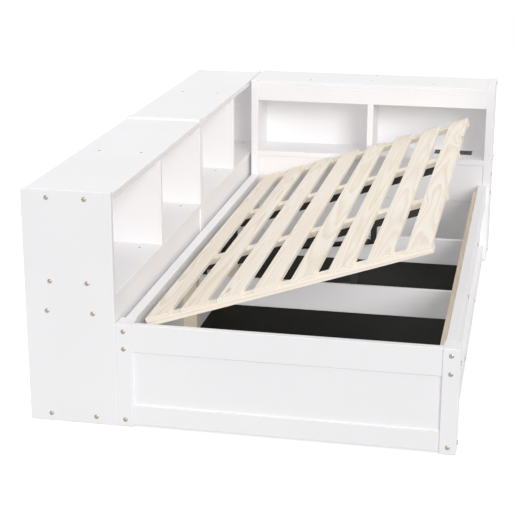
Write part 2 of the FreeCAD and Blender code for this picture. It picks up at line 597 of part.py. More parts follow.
# ---- Fasteners -----------------------------------------------------------
def fasteners():
    """Bolts in the faces and screws in the tops and shelves, each in its own hole."""
    bolts = []
    front = V(0, -1, 0)
    rear = V(0, 1, 0)
    side = V(1, 0, 0)
    places = []
    upper_x = (END_BOLT_FROM_OUTER, CASE_DEPTH - END_BOLT_FROM_BED)
    lower_x = (LOW_BOLT_FROM_OUTER, CASE_DEPTH - LOW_BOLT_FROM_BED)
    bottom_z = BOTTOM_Z + BOTTOM_T / 2
    rows = ((upper_x, CASE_TOP - BOLT_BELOW_TOP), (upper_x, SHELF_TOP + BOLT_ABOVE_SHELF),
            (lower_x, SHELF_TOP - BOLT_BELOW_SHELF), (lower_x, bottom_z))
    for across, z in rows:
        for x in across:
            places.append(("side_bookcase_end_panel_front", V(x, 0, z), front))
            places.append(("side_bookcase_end_panel_rear", V(x, LENGTH, z), rear))
    for z in (FRAME_HEIGHT - POST_BOLT_BELOW_TOP, RAIL_BOTTOM + POST_BOLT_ABOVE_RAIL,
              FOOT_CLEARANCE + LOW_POST_BOLT_Z):
        inset = POST_WIDTH / 2
        places.append(("foot_post_left", V(BED_LEFT + inset, 0, z), front))
        places.append(("foot_post_right", V(BED_RIGHT - inset, 0, z), front))
    for z in (RAIL_BOTTOM + SIDE_BOLT_ABOVE_RAIL, LOW_POST_BOLT_Z):
        seat = V(BED_RIGHT, POST_DEPTH - SIDE_BOLT_FROM_POST_BACK, z)
        places.append(("foot_post_right", seat, side))
    for y in (BEAM_1_Y + BEAM_T / 2, BEAM_2_Y + BEAM_T / 2):
        seat = V(RAIL_R1, y, (RAIL_BOTTOM + BEAM_TOP) / 2)
        places.append(("side_rail_right", seat, side))
        places.append(("side_bottom_rails", V(RAIL_R1, y, LOW_RAIL_TOP / 2), side))
    under_shelf = HEAD_SHELF_TOP - HEAD_BOLT_BELOW_SHELF
    for y, z in ((LENGTH - HEAD_BOLT_FROM_BACK, HEAD_TOP - HEAD_BOLT_BELOW_TOP),
                 (LENGTH - HEAD_BOLT_FROM_BACK, under_shelf),
                 (LENGTH - HEAD_MIDDLE_BOLT_FROM_BACK, under_shelf),
                 (LENGTH - HEAD_LOW_BOLT_FROM_BACK, HEAD_SHELF_TOP - HEAD_LOW_BOLT_BELOW_SHELF),
                 (BED_LENGTH + HEAD_RAIL_BOLT_PAST_BED,
                  FRAME_HEIGHT - HEAD_RAIL_BOLT_BELOW_FRAME),
                 (BED_LENGTH + HEAD_FOOT_BOLT_PAST_BED, bottom_z)):
        places.append(("headboard_end_panel_right", V(BED_RIGHT, y, z), side))
    for name, seat, outward in places:
        drill(name, seat, outward)
        bolts.append(bolt(seat, outward))
    pieces["panel_bolts"] = Part.makeCompound(bolts)
    screws = []
    for name, start in (("front", 0.0), ("rear", MODULE)):
        for x in lower_x:
            face = V(x, start + MODULE / 2, CASE_TOP)
            screws.append(screw("side_bookcase_top_" + name, face))
        walls = (start + MODULE / 2 - DIVIDER_T / 2, start + MODULE - END_T)
        for wall in walls:
            face = V(CASE_DEPTH - SHELF_SCREW_FROM_FRONT, wall - SHELF_SCREW_BEFORE_WALL,
                     SHELF_TOP)
            screws.append(screw("side_bookcase_shelf_" + name, face))
    middle = (BED_LEFT + BED_RIGHT) / 2
    beside = BED_LENGTH + HEAD_SIDE_SCREW_PAST_BED
    for x, y in ((middle - HEAD_SCREW_SPREAD, beside), (middle + HEAD_SCREW_SPREAD, beside),
                 (middle, BED_LENGTH + HEAD_MIDDLE_SCREW_PAST_BED),
                 (middle, LENGTH - HEAD_MIDDLE_SCREW_FROM_BACK)):
        screws.append(screw("headboard_top", V(x, y, HEAD_TOP)))
    pieces["board_screws"] = Part.makeCompound(screws)


def main():
    """Draw every piece, move the origin to the footprint's middle and export."""
    side_bookcase()
    headboard()
    bed_frame()
    storage()
    slats()
    battens()
    lift_mechanism()
    fasteners()
    os.makedirs("parts", exist_ok=True)
    whole = FreeCAD.BoundBox()
    for shape in pieces.values():
        whole.add(shape.BoundBox)
    shift = V(-whole.Center.x, -whole.Center.y, -whole.ZMin)
    for name, shape in pieces.items():
        shape.translate(shift)
        shape.exportStep("parts/%s.step" % name)
    print("pieces", len(pieces), "size", whole.XLength, whole.YLength, whole.ZLength)
    print("shift", shift)


main()
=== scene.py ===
"""Looks, light and camera for a lift-up storage bed with two bookcases.

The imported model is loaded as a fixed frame.  Its boards keep their shapes and
get procedural finishes; the fasteners, the power outlet and the collars of the
gas struts are modelled here as finer pieces.  Lengths are in metres.
"""
import logging
import math
import random
from dataclasses import dataclass
from enum import Enum

import bmesh
import bpy
from mathutils import Matrix, Vector


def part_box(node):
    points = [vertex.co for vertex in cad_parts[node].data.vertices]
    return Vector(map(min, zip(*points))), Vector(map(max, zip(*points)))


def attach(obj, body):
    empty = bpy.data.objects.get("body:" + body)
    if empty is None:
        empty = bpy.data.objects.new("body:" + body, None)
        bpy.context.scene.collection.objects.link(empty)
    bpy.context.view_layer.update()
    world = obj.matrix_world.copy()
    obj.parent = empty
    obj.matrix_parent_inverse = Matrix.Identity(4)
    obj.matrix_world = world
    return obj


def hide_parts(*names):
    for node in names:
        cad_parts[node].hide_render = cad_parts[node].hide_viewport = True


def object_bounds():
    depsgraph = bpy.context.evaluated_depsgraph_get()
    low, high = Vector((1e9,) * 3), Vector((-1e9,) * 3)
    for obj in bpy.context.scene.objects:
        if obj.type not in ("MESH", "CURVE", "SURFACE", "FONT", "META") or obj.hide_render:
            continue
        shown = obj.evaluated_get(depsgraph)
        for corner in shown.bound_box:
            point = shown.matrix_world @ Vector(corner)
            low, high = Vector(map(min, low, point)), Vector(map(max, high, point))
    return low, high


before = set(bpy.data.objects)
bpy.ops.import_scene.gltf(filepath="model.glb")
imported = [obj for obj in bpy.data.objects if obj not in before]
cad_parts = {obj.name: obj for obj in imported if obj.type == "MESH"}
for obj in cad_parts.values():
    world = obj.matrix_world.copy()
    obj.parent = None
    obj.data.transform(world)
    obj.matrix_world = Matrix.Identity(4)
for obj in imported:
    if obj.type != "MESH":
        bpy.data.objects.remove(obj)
CAD_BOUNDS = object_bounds()

LOG = logging.getLogger("bed")
MM = 0.001
Pair = tuple[float, float]
Triple = tuple[float, float, float]
Colour = Triple


class Grain(Enum):
    """Axis that a piece's grain follows."""

    ACROSS = 0
    ALONG = 1


# ---- Finishes ------------------------------------------------------------
@dataclass(frozen=True)
class PaintFinish:
    """Satin lacquer on smooth board; a ramp gives a noise's low and high end."""

    base: Colour = (0.885, 0.872, 0.880)
    shaded: Colour = (0.865, 0.852, 0.860)
    roughness: float = 0.42
    roughness_spread: float = 0.08
    orange_peel_scale: float = 420.0
    orange_peel_height: float = 0.00006
    cloud_scale: float = 2.2
    cloud_ramp: Pair = (0.35, 0.65)


@dataclass(frozen=True)
class PineFinish:
    """Planed or sawn pine, cut from a log that is modelled ring by ring.

    Attributes:
        light: Colour of the early wood.
        dark: Colour of the late wood lines.
        knot: Colour at the middle of a knot.
        along: Axis that the grain follows.
        ring: Distance from one growth ring to the next, in metres.
        depth: Least and most distance from the face to the log's heart.
        taper: How fast the face runs out of the rings along the grain.
        contrast: How strongly the late wood shows, 0 to 1.
        roughness: Surface roughness.
        ring_spread: Least and most share of the ring that a board's rings take.
        aside: Furthest that the heart lies to the side of the board's middle.
        wander: How far the rings drift toward and from the face, in metres.
        sway: How far they drift sideways, in metres.
        swell: How far they bulge around a knot, in metres.
        drift_scale: Size of the drift across and along the grain, per metre.
        knot_scale: Spacing of the knots across and along the grain, per metre.
        fibre_scale: Fineness of the fibres across and along the grain, per metre.
        fibre_height: Height of the brushed grain, in metres.
        fibre_depth: Strength of that height.
        fray: How far the fibres fray a ring's edge, in rings.
        late_rise: Where in a ring the late wood starts and is full.
        late_fall: Where it has ended and where it is still full.
        fibre_ramp: Fibre values at which the lines vanish and are full.
        strength: Least and most share of the contrast that a board takes.
        warm_ramp: Cloud values at which the warm tint starts and is full.
        warm: Most that the tint covers.
        fleck_ramp: Fibre values at which the flecks start and are full.
        fleck: Most that the flecks cover.
        knot_reach: Distance from a knot at which its bulge ends.
        knot_ramp: Distances at which a knot's colour ends and is full.
        knot_cover: Most that a knot's colour covers.
        roughness_spread: Width of the roughness across the fibres.
    """

    light: Colour = (0.95, 0.885, 0.79)
    dark: Colour = (0.775, 0.620, 0.425)
    knot: Colour = (0.45, 0.28, 0.15)
    along: Grain = Grain.ALONG
    ring: float = 0.0075
    depth: Pair = (0.018, 0.075)
    taper: Pair = (0.010, 0.034)
    contrast: float = 0.62
    roughness: float = 0.56
    ring_spread: Pair = (0.8, 1.25)
    aside: float = 0.03
    wander: float = 0.042
    sway: float = 0.02
    swell: float = 0.018
    drift_scale: Pair = (9.0, 1.1)
    knot_scale: Pair = (6.0, 1.5)
    fibre_scale: Pair = (420.0, 9.0)
    fibre_height: float = 0.0001
    fibre_depth: float = 0.7
    fray: float = 0.10
    late_rise: Pair = (0.30, 0.86)
    late_fall: Pair = (1.0, 0.92)
    fibre_ramp: Pair = (0.05, 0.75)
    strength: Pair = (0.75, 1.1)
    warm_ramp: Pair = (0.40, 0.70)
    warm: float = 0.40
    fleck_ramp: Pair = (0.62, 0.80)
    fleck: float = 0.14
    knot_reach: float = 0.34
    knot_ramp: Pair = (0.055, 0.02)
    knot_cover: float = 0.55
    roughness_spread: float = 0.12

    def grained(self, scale: Pair) -> Triple:
        """Return a scale for all three axes from one across and one along the grain."""
        across, along = scale
        return tuple(along if axis == self.along.value else across for axis in range(3))


@dataclass(frozen=True)
class BoardFinish:
    """Plain faced board with faint dust and rub marks drawn out along its length."""

    base: Colour
    marks: Colour
    roughness: float = 0.6
    specular: float = 0.3
    mark_scale: float = 6.0
    mark_stretch: Triple = (1.0, 0.4, 1.0)
    mark_ramp: Pair = (0.5, 0.75)
    roughness_spread: float = 0.2
    grain_scale: float = 300.0
    grain_height: float = 0.00008


@dataclass(frozen=True)
class MetalFinish:
    """Metal or enamel over metal."""

    base: Colour
    worn: Colour
    metallic: float
    roughness: float
    speckle_scale: float = 700.0
    speckle_ramp: Pair = (0.45, 0.75)
    roughness_spread: float = 0.16
    speckle_height: float = 0.00003


WHITE_PAINT = PaintFinish()
DECK_PINE = PineFinish()
BATTEN_PINE = PineFinish(along=Grain.ACROSS, ring=0.006)
SAWN_PINE = PineFinish(light=(0.90, 0.79, 0.64), dark=(0.76, 0.64, 0.50),
                       contrast=0.8, roughness=0.75)
BLACK_BOARD = BoardFinish((0.0052, 0.0060, 0.0038), (0.0075, 0.0085, 0.0058), 0.36, 0.03)
BROWN_BOARD = BoardFinish((0.60, 0.54, 0.47), (0.65, 0.59, 0.52), 0.8)
BLACK_ENAMEL = MetalFinish((0.022, 0.022, 0.021), (0.05, 0.05, 0.048), 0.0, 0.42)
STRUT_ENAMEL = MetalFinish((0.012, 0.012, 0.012), (0.03, 0.03, 0.03), 0.0, 0.25)
STRUT_STEEL = MetalFinish((0.62, 0.62, 0.63), (0.5, 0.5, 0.5), 1.0, 0.18)
BOLT_ZINC = MetalFinish((0.47, 0.42, 0.36), (0.27, 0.22, 0.16), 1.0, 0.27)
SCREW_ZINC = MetalFinish((0.21, 0.18, 0.14), (0.12, 0.10, 0.08), 0.4, 0.50)
GREY_PLASTIC = MetalFinish((0.07, 0.07, 0.072), (0.10, 0.10, 0.10), 0.0, 0.45)
SEAL_RUBBER = MetalFinish((0.03, 0.03, 0.03), (0.05, 0.05, 0.05), 0.0, 0.65)
BLACK_PLASTIC = MetalFinish((0.02, 0.02, 0.021), (0.035, 0.035, 0.035), 0.0, 0.5)


class Graph:
    """Small helper that builds one material's node graph."""

    def __init__(self, name: str) -> None:
        """Start an empty material.

        Args:
            name: Name of the new material.
        """
        self.material = bpy.data.materials.new(name)
        self.material.use_nodes = True
        self.tree = self.material.node_tree
        self.tree.nodes.clear()

    def node(self, kind: str, settings: dict | None = None, **inputs) -> bpy.types.Node:
        """Add a node, set its properties and fill or link its inputs.

        Args:
            kind: Blender's identifier of the node type.
            settings: Properties to set on the node itself.
            **inputs: Socket values or sockets to link, underscores for spaces.

        Returns:
            The new node.
        """
        made = self.tree.nodes.new(kind)
        for key, value in (settings or {}).items():
            setattr(made, key, value)
        for key, value in inputs.items():
            self.fill(made.inputs[key.replace("_", " ")], value)
        return made

    def fill(self, socket: bpy.types.NodeSocket, value) -> None:
        """Link a socket to another socket or give it a value."""
        if isinstance(value, bpy.types.NodeSocket):
            self.tree.links.new(value, socket)
        elif isinstance(value, tuple) and len(value) == 3 and socket.type == "RGBA":
            socket.default_value = (*value, 1.0)
        else:
            socket.default_value = value

    def maths(self, operation: str, first, second=0.0, clamp: bool = False):
        """Return the output of a maths node."""
        made = self.node("ShaderNodeMath", {"operation": operation, "use_clamp": clamp})
        self.fill(made.inputs[0], first)
        self.fill(made.inputs[1], second)
        return made.outputs[0]

    def mix(self, factor, first, second):
        """Return a colour mixed between two colours by a factor."""
        made = self.node("ShaderNodeMix", {"data_type": "RGBA"})
        self.fill(made.inputs[0], factor)
        self.fill(made.inputs[6], first)
        self.fill(made.inputs[7], second)
        return made.outputs[2]

    def ramp(self, value, low: float, high: float):
        """Return a value stretched from low..high to 0..1 and smoothed."""
        made = self.node("ShaderNodeMapRange", {"interpolation_type": "SMOOTHSTEP"},
                         Value=value, From_Min=low, From_Max=high)
        return made.outputs[0]

    def place(self, scale: Triple):
        """Return object coordinates, scaled."""
        return self.stretched(self.node("ShaderNodeTexCoord").outputs["Object"], scale)

    def turned(self, tilt: float, centre: Triple):
        """Return object coordinates turned level about Y and set to a centre."""
        coordinates = self.node("ShaderNodeTexCoord").outputs["Object"]
        moved = self.node("ShaderNodeVectorMath", {"operation": "SUBTRACT"})
        self.fill(moved.inputs[0], coordinates)
        moved.inputs[1].default_value = centre
        made = self.node("ShaderNodeMapping", Vector=moved.outputs[0],
                         Rotation=(0.0, tilt, 0.0))
        return made.outputs[0]

    def stretched(self, vector, scale: Triple, offset: Triple = (0.0, 0.0, 0.0)):
        """Return a vector scaled and moved."""
        made = self.node("ShaderNodeMapping", Vector=vector, Scale=scale, Location=offset)
        return made.outputs[0]

    def noise(self, vector, scale: float, detail: float = 3.0, distortion: float = 0.0):
        """Return a noise value at a vector."""
        made = self.node("ShaderNodeTexNoise", Vector=vector, Scale=scale, Detail=detail,
                         Distortion=distortion)
        return made.outputs[0]

    def spread(self, value, middle: float, width: float):
        """Return a value from 0..1 spread over a width about a middle."""
        return self.maths("ADD", self.maths("MULTIPLY", value, width), middle - width / 2)

    def bump(self, height, distance: float, strength: float = 1.0):
        """Return a normal disturbed by a height."""
        made = self.node("ShaderNodeBump", Height=height, Distance=distance, Strength=strength)
        return made.outputs[0]

    def surface(self, colour, roughness, normal=None, metallic: float = 0.0,
                specular: float = 0.5) -> bpy.types.Material:
        """Close the graph with a surface shader and return the material."""
        shader = self.node("ShaderNodeBsdfPrincipled", Roughness=roughness, Metallic=metallic)
        self.fill(shader.inputs["Base Color"], colour)
        shader.inputs["Specular IOR Level"].default_value = specular
        if normal is not None:
            self.fill(shader.inputs["Normal"], normal)
        self.node("ShaderNodeOutputMaterial", Surface=shader.outputs[0])
        return self.material


NO_STRETCH = (1.0, 1.0, 1.0)
TINT_SCALE = (3.0, 1.2, 3.0)
FAR_OFF = 20.0


def painted(name: str, finish: PaintFinish) -> bpy.types.Material:
    """Make satin lacquer with a fine orange peel and faint unevenness."""
    graph = Graph(name)
    flat = graph.place(NO_STRETCH)
    cloud = graph.noise(flat, finish.cloud_scale, 4.0)
    colour = graph.mix(graph.ramp(cloud, *finish.cloud_ramp), finish.base, finish.shaded)
    roughness = graph.spread(cloud, finish.roughness, finish.roughness_spread)
    peel = graph.noise(flat, finish.orange_peel_scale, 2.0)
    normal = graph.bump(peel, finish.orange_peel_height)
    return graph.surface(colour, roughness, normal)


def pine(name: str, finish: PineFinish, node: str, tilt: float) -> bpy.types.Material:
    """Make pine whose lines are the rings of the log that it was cut from.

    The distance from each point to the log's heart is counted in rings, so a
    board cut close to the heart shows nested arches and a deep one straight lines.

    Args:
        name: Material name.
        finish: Colours and rings of the wood.
        node: CAD node that takes the material; it seeds the cut.
        tilt: Angle of the deck, so that the log lies in its plane.

    Returns:
        The material.
    """
    graph = Graph(name)
    chance = random.Random(sum(ord(letter) * (place + 1) for place, letter in enumerate(node)))
    low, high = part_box(node)
    centre = tuple((a + b) / 2 for a, b in zip(low, high))
    offset = tuple(chance.uniform(-FAR_OFF, FAR_OFF) for _ in range(3))
    level = graph.turned(tilt, centre)
    parts = graph.node("ShaderNodeSeparateXYZ", Vector=level)
    along = parts.outputs[finish.along.value]
    across = parts.outputs[1 - finish.along.value]

    # The log's heart: how deep it lies below each point and how far to its side.
    wide = graph.stretched(level, finish.grained(finish.drift_scale), offset)
    drift = graph.noise(wide, 1.0, 2.0, 0.2)
    knots = graph.stretched(level, finish.grained(finish.knot_scale), offset)
    voronoi = graph.node("ShaderNodeTexVoronoi", Scale=1.0, Vector=knots)
    distance = voronoi.outputs["Distance"]
    swell = graph.maths("MULTIPLY", graph.ramp(distance, finish.knot_reach, 0.0), finish.swell)
    slope = chance.choice((-1, 1)) * chance.uniform(*finish.taper)
    run_out = graph.maths("MULTIPLY", along, slope)
    bend = graph.maths("MULTIPLY", graph.maths("SUBTRACT", drift, 0.5), finish.wander)
    depth = graph.maths("ADD", graph.maths("ADD", run_out, bend), swell)
    depth = graph.maths("ADD", depth, chance.uniform(*finish.depth))
    depth = graph.maths("ADD", depth, parts.outputs[2])
    side = graph.maths("ADD", across, chance.uniform(-finish.aside, finish.aside))
    side = graph.maths("ADD", side, graph.maths("MULTIPLY", drift, finish.sway))
    radius = graph.maths("SQRT", graph.maths("ADD", graph.maths("MULTIPLY", side, side),
                                             graph.maths("MULTIPLY", depth, depth)))

    # Rings, frayed by the fibres: each darkens slowly and ends sharply.
    rings = graph.maths("DIVIDE", radius, finish.ring * chance.uniform(*finish.ring_spread))
    fibres = graph.stretched(level, finish.grained(finish.fibre_scale), offset)
    fine = graph.noise(fibres, 1.0, 2.0)
    frayed = graph.maths("ADD", rings, graph.maths("MULTIPLY", fine, finish.fray))
    phase = graph.maths("FRACT", frayed)
    late = graph.maths("MULTIPLY", graph.ramp(phase, *finish.late_rise),
                       graph.ramp(phase, *finish.late_fall))
    soft = graph.maths("MULTIPLY", late, graph.ramp(fine, *finish.fibre_ramp))

    # Colour: a warm cloud over the board, then the lines, the flecks and the knots.
    tint = graph.noise(graph.stretched(level, TINT_SCALE, offset), 1.0, 2.0)
    strength = finish.contrast * chance.uniform(*finish.strength)
    lines = graph.maths("MULTIPLY", soft, strength)
    warm = tuple(0.6 * a + 0.4 * b for a, b in zip(finish.light, finish.dark))
    cover = graph.maths("MULTIPLY", graph.ramp(tint, *finish.warm_ramp), finish.warm)
    ground = graph.mix(cover, finish.light, warm)
    colour = graph.mix(lines, ground, finish.dark)
    fleck = graph.maths("MULTIPLY", graph.ramp(fine, *finish.fleck_ramp), finish.fleck)
    colour = graph.mix(fleck, colour, finish.dark)
    heart = graph.maths("MULTIPLY", graph.ramp(distance, *finish.knot_ramp), finish.knot_cover)
    colour = graph.mix(heart, colour, finish.knot)
    height = graph.maths("ADD", graph.maths("MULTIPLY", late, 0.5), fine)
    normal = graph.bump(height, finish.fibre_height, finish.fibre_depth)
    roughness = graph.spread(fine, finish.roughness, finish.roughness_spread)
    return graph.surface(colour, roughness, normal, specular=0.3)


def faced_board(name: str, finish: BoardFinish) -> bpy.types.Material:
    """Make a faced board with faint marks."""
    graph = Graph(name)
    marks = graph.noise(graph.place(finish.mark_stretch), finish.mark_scale, 6.0, 0.6)
    colour = graph.mix(graph.ramp(marks, *finish.mark_ramp), finish.base, finish.marks)
    grain = graph.noise(graph.place(NO_STRETCH), finish.grain_scale, 2.0)
    roughness = graph.spread(marks, finish.roughness, finish.roughness_spread)
    return graph.surface(colour, roughness, graph.bump(grain, finish.grain_height),
                         specular=finish.specular)


def metal(name: str, finish: MetalFinish) -> bpy.types.Material:
    """Make metal or enamel with a fine speckle."""
    graph = Graph(name)
    speckle = graph.noise(graph.place(NO_STRETCH), finish.speckle_scale, 3.0)
    colour = graph.mix(graph.ramp(speckle, *finish.speckle_ramp), finish.base, finish.worn)
    roughness = graph.spread(speckle, finish.roughness, finish.roughness_spread)
    normal = graph.bump(speckle, finish.speckle_height)
    return graph.surface(colour, roughness, normal, finish.metallic)


DECK_TILT = math.radians(18.8)
SAWN_NODES = ("deck_cleat", "beam_blocks", "floor_strips")


class Finishes:
    """All the part's materials, by the kind of piece that takes them."""

    def __init__(self) -> None:
        """Make the materials that several pieces share."""
        self.paint = painted("white_paint", WHITE_PAINT)
        self.black_board = faced_board("black_board", BLACK_BOARD)
        self.brown_board = faced_board("brown_board", BROWN_BOARD)
        self.enamel = metal("black_enamel", BLACK_ENAMEL)
        self.strut = metal("strut_enamel", STRUT_ENAMEL)
        self.rod = metal("strut_steel", STRUT_STEEL)
        self.zinc = metal("bolt_zinc", BOLT_ZINC)
        self.screw_zinc = metal("screw_zinc", SCREW_ZINC)
        self.grey_plastic = metal("grey_plastic", GREY_PLASTIC)
        self.rubber = metal("seal_rubber", SEAL_RUBBER)
        self.plastic = metal("black_plastic", BLACK_PLASTIC)

    def for_node(self, node: str) -> bpy.types.Material:
        """Return the finish of a CAD node.

        Args:
            node: The node's name.

        Returns:
            The node's material; each slat and batten has its own cut of pine.
        """
        if node.startswith("deck_slat"):
            return pine(node + "_pine", DECK_PINE, node, DECK_TILT)
        if node.startswith("deck_batten"):
            return pine(node + "_pine", BATTEN_PINE, node, DECK_TILT)
        if node in SAWN_NODES:
            return pine(node + "_pine", SAWN_PINE, node, 0.0)
        named = {"storage_floor_boards": self.black_board,
                 "headboard_outer_back": self.brown_board, "lift_arms": self.enamel,
                 "lift_base_brackets": self.enamel,
                 "headboard_power_outlet": self.plastic,
                 "strut_rod_front": self.rod, "strut_rod_rear": self.rod,
                 "strut_cylinder_front": self.strut, "strut_cylinder_rear": self.strut,
                 "panel_bolts": self.zinc, "board_screws": self.screw_zinc}
        return named.get(node, self.paint)


def finish_frame(finishes: Finishes) -> None:
    """Give every carried-over CAD node its material."""
    for name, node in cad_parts.items():
        node.data.materials.clear()
        node.data.materials.append(finishes.for_node(name))
        LOG.info("finished %s", name)


# ---- Fasteners -----------------------------------------------------------
READ_WELD = 1e-6
SPIN_WELD = 1e-7


@dataclass
class Seat:
    """Where a fastener sits: the middle of its head's underside."""

    place: Vector
    outward: Vector
    radius: float
    height: float


def islands(mesh: bpy.types.Mesh) -> list[list[Vector]]:
    """Split a mesh into the point lists of its separate solids."""
    shape = bmesh.new()
    shape.from_mesh(mesh)
    bmesh.ops.remove_doubles(shape, verts=shape.verts[:], dist=READ_WELD)
    left = set(shape.verts)
    groups = []
    while left:
        stack = [left.pop()]
        group = []
        while stack:
            vertex = stack.pop()
            group.append(vertex.co.copy())
            for edge in vertex.link_edges:
                other = edge.other_vert(vertex)
                if other in left:
                    left.remove(other)
                    stack.append(other)
        groups.append(group)
    shape.free()
    return groups


def seats_of(node: str, shank_share: float) -> list[Seat]:
    """Read the seats of a node's fasteners from its separate solids.

    Args:
        node: CAD node that holds the fasteners.
        shank_share: Share of a fastener's length that is shank.

    Returns:
        One seat for each fastener.
    """
    seats = []
    for group in islands(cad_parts[node].data):
        low = Vector([min(p[i] for p in group) for i in range(3)])
        high = Vector([max(p[i] for p in group) for i in range(3)])
        size = high - low
        along = max(range(3), key=lambda i: size[i])
        middle = (low + high) / 2
        widest = max(group, key=lambda p: sum((p[i] - middle[i]) ** 2
                                              for i in range(3) if i != along))
        sign = 1.0 if widest[along] > middle[along] else -1.0
        outward = Vector((0.0, 0.0, 0.0))
        outward[along] = sign
        place = middle.copy()
        start = low[along] if sign > 0 else high[along]
        place[along] = start + sign * size[along] * shank_share
        radius = max(size[i] for i in range(3) if i != along) / 2
        seats.append(Seat(place, outward, radius, size[along] * (1.0 - shank_share)))
    return seats


def finished_piece(shape: bmesh.types.BMesh, name: str, material: bpy.types.Material,
                   body: str, sharp_deg: float = 40.0) -> bpy.types.Object:
    """Turn a bmesh into a smooth-shaded piece that rides on a body.

    Args:
        shape: The piece's mesh, which is freed.
        name: Name of the piece.
        material: Its finish.
        body: Body that it moves with.
        sharp_deg: Edges steeper than this stay sharp.

    Returns:
        The finished piece.
    """
    bmesh.ops.recalc_face_normals(shape, faces=shape.faces[:])
    for edge in shape.edges:
        edge.smooth = edge.calc_face_angle(0.0) < math.radians(sharp_deg)
    for face in shape.faces:
        face.smooth = True
    mesh = bpy.data.meshes.new(name)
    shape.to_mesh(mesh)
    shape.free()
    mesh.materials.append(material)
    piece = bpy.data.objects.new(name, mesh)
    bpy.context.scene.collection.objects.link(piece)
    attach(piece, body)
    LOG.info("built %s", name)
    return piece


def spun(shape: bmesh.types.BMesh, profile: list, steps: int) -> list:
    """Spin a profile of radius and height pairs about Z in its own bmesh.

    Args:
        shape: Mesh that takes the turned form.
        profile: Radius and height pairs, in metres.
        steps: Steps of the full turn.

    Returns:
        The vertices that were made.
    """
    before = set(shape.verts)
    path = [shape.verts.new((r, 0.0, z)) for r, z in profile]
    edges = [shape.edges.new(pair) for pair in zip(path, path[1:])]
    bmesh.ops.spin(shape, geom=path + edges, cent=(0, 0, 0), axis=(0, 0, 1),
                   angle=2 * math.pi, steps=steps, use_merge=True)
    made = [v for v in shape.verts if v not in before]
    bmesh.ops.remove_doubles(shape, verts=made, dist=SPIN_WELD)
    return [v for v in shape.verts if v not in before]


class Fasteners:
    """Domed bolts and low screws, each with a six-sided socket."""

    def head(self, shape: bmesh.types.BMesh, seat: Seat, profile: list,
             socket_radius: float) -> None:
        """Spin one head about its axis and press a six-sided socket into it.

        Args:
            shape: Mesh that takes the head.
            seat: Where the head sits.
            profile: Radius and height pairs, as shares of the seat's sizes.
            socket_radius: Half the socket's width across its flats.
        """
        sized = [(r * seat.radius, z * seat.height) for r, z in profile]
        made = spun(shape, sized, HEAD_STEPS)
        for vertex in made:
            flat = math.hypot(vertex.co.x, vertex.co.y)
            if SPIN_WELD < flat < socket_radius * SOCKET_REACH:
                turn = math.atan2(vertex.co.y, vertex.co.x) % (math.pi / 3) - math.pi / 6
                wide = 1.0 / math.cos(turn)
                vertex.co.x *= wide
                vertex.co.y *= wide
        turn = seat.outward.to_track_quat("Z", "Y").to_matrix().to_4x4()
        bmesh.ops.transform(shape, matrix=Matrix.Translation(seat.place) @ turn, verts=made)

    def build(self, node: str, name: str, material: bpy.types.Material, profile: list,
              shank_share: float, socket_share: float) -> bpy.types.Object:
        """Build all of a node's heads as one piece that stands for it.

        Args:
            node: CAD node that the heads replace.
            name: Name of the new piece.
            material: Finish of the heads.
            profile: Radius and height pairs, as shares of the seat's sizes.
            shank_share: Share of a fastener's length that is shank.
            socket_share: Socket's half width as a share of the head's radius.

        Returns:
            The finished piece.
        """
        shape = bmesh.new()
        for seat in seats_of(node, shank_share):
            self.head(shape, seat, profile, socket_share * seat.radius)
        piece = finished_piece(shape, name, material, "bed_frame")
        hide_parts(node)
        return piece


HEAD_STEPS = 24
SOCKET_REACH = 1.2
SHANK_LENGTH = 14.0 * MM
BOLT_HEAD_HEIGHT = 2.6 * MM
SCREW_HEAD_HEIGHT = 0.8 * MM
BOLT_SOCKET_SHARE = 0.42
SCREW_SOCKET_SHARE = 0.2
BOLT_PROFILE = [(0.0, -0.5), (0.55, -0.5), (0.55, 0.0), (0.97, 0.0), (1.0, 0.06), (1.0, 0.3),
                (0.95, 0.52), (0.82, 0.76), (0.64, 0.92), (0.50, 1.0), (0.44, 0.96),
                (0.42, 0.84), (0.42, 0.3), (0.0, 0.3)]
SCREW_PROFILE = [(0.0, -2.0), (0.45, -2.0), (0.45, -0.5), (0.98, 0.0), (1.0, 0.2),
                 (0.92, 0.7), (0.6, 1.0), (0.36, 1.0), (0.32, 0.9), (0.22, -0.6), (0.0, -0.8)]


# ---- Power outlet --------------------------------------------------------
DISH_STEPS = 40
DISH_PROFILE = [(0.0, -1.0), (1.0, -1.0), (1.0, -0.25), (0.965, -0.1), (0.93, -0.25),
                (0.90, -0.72), (0.0, -0.72)]


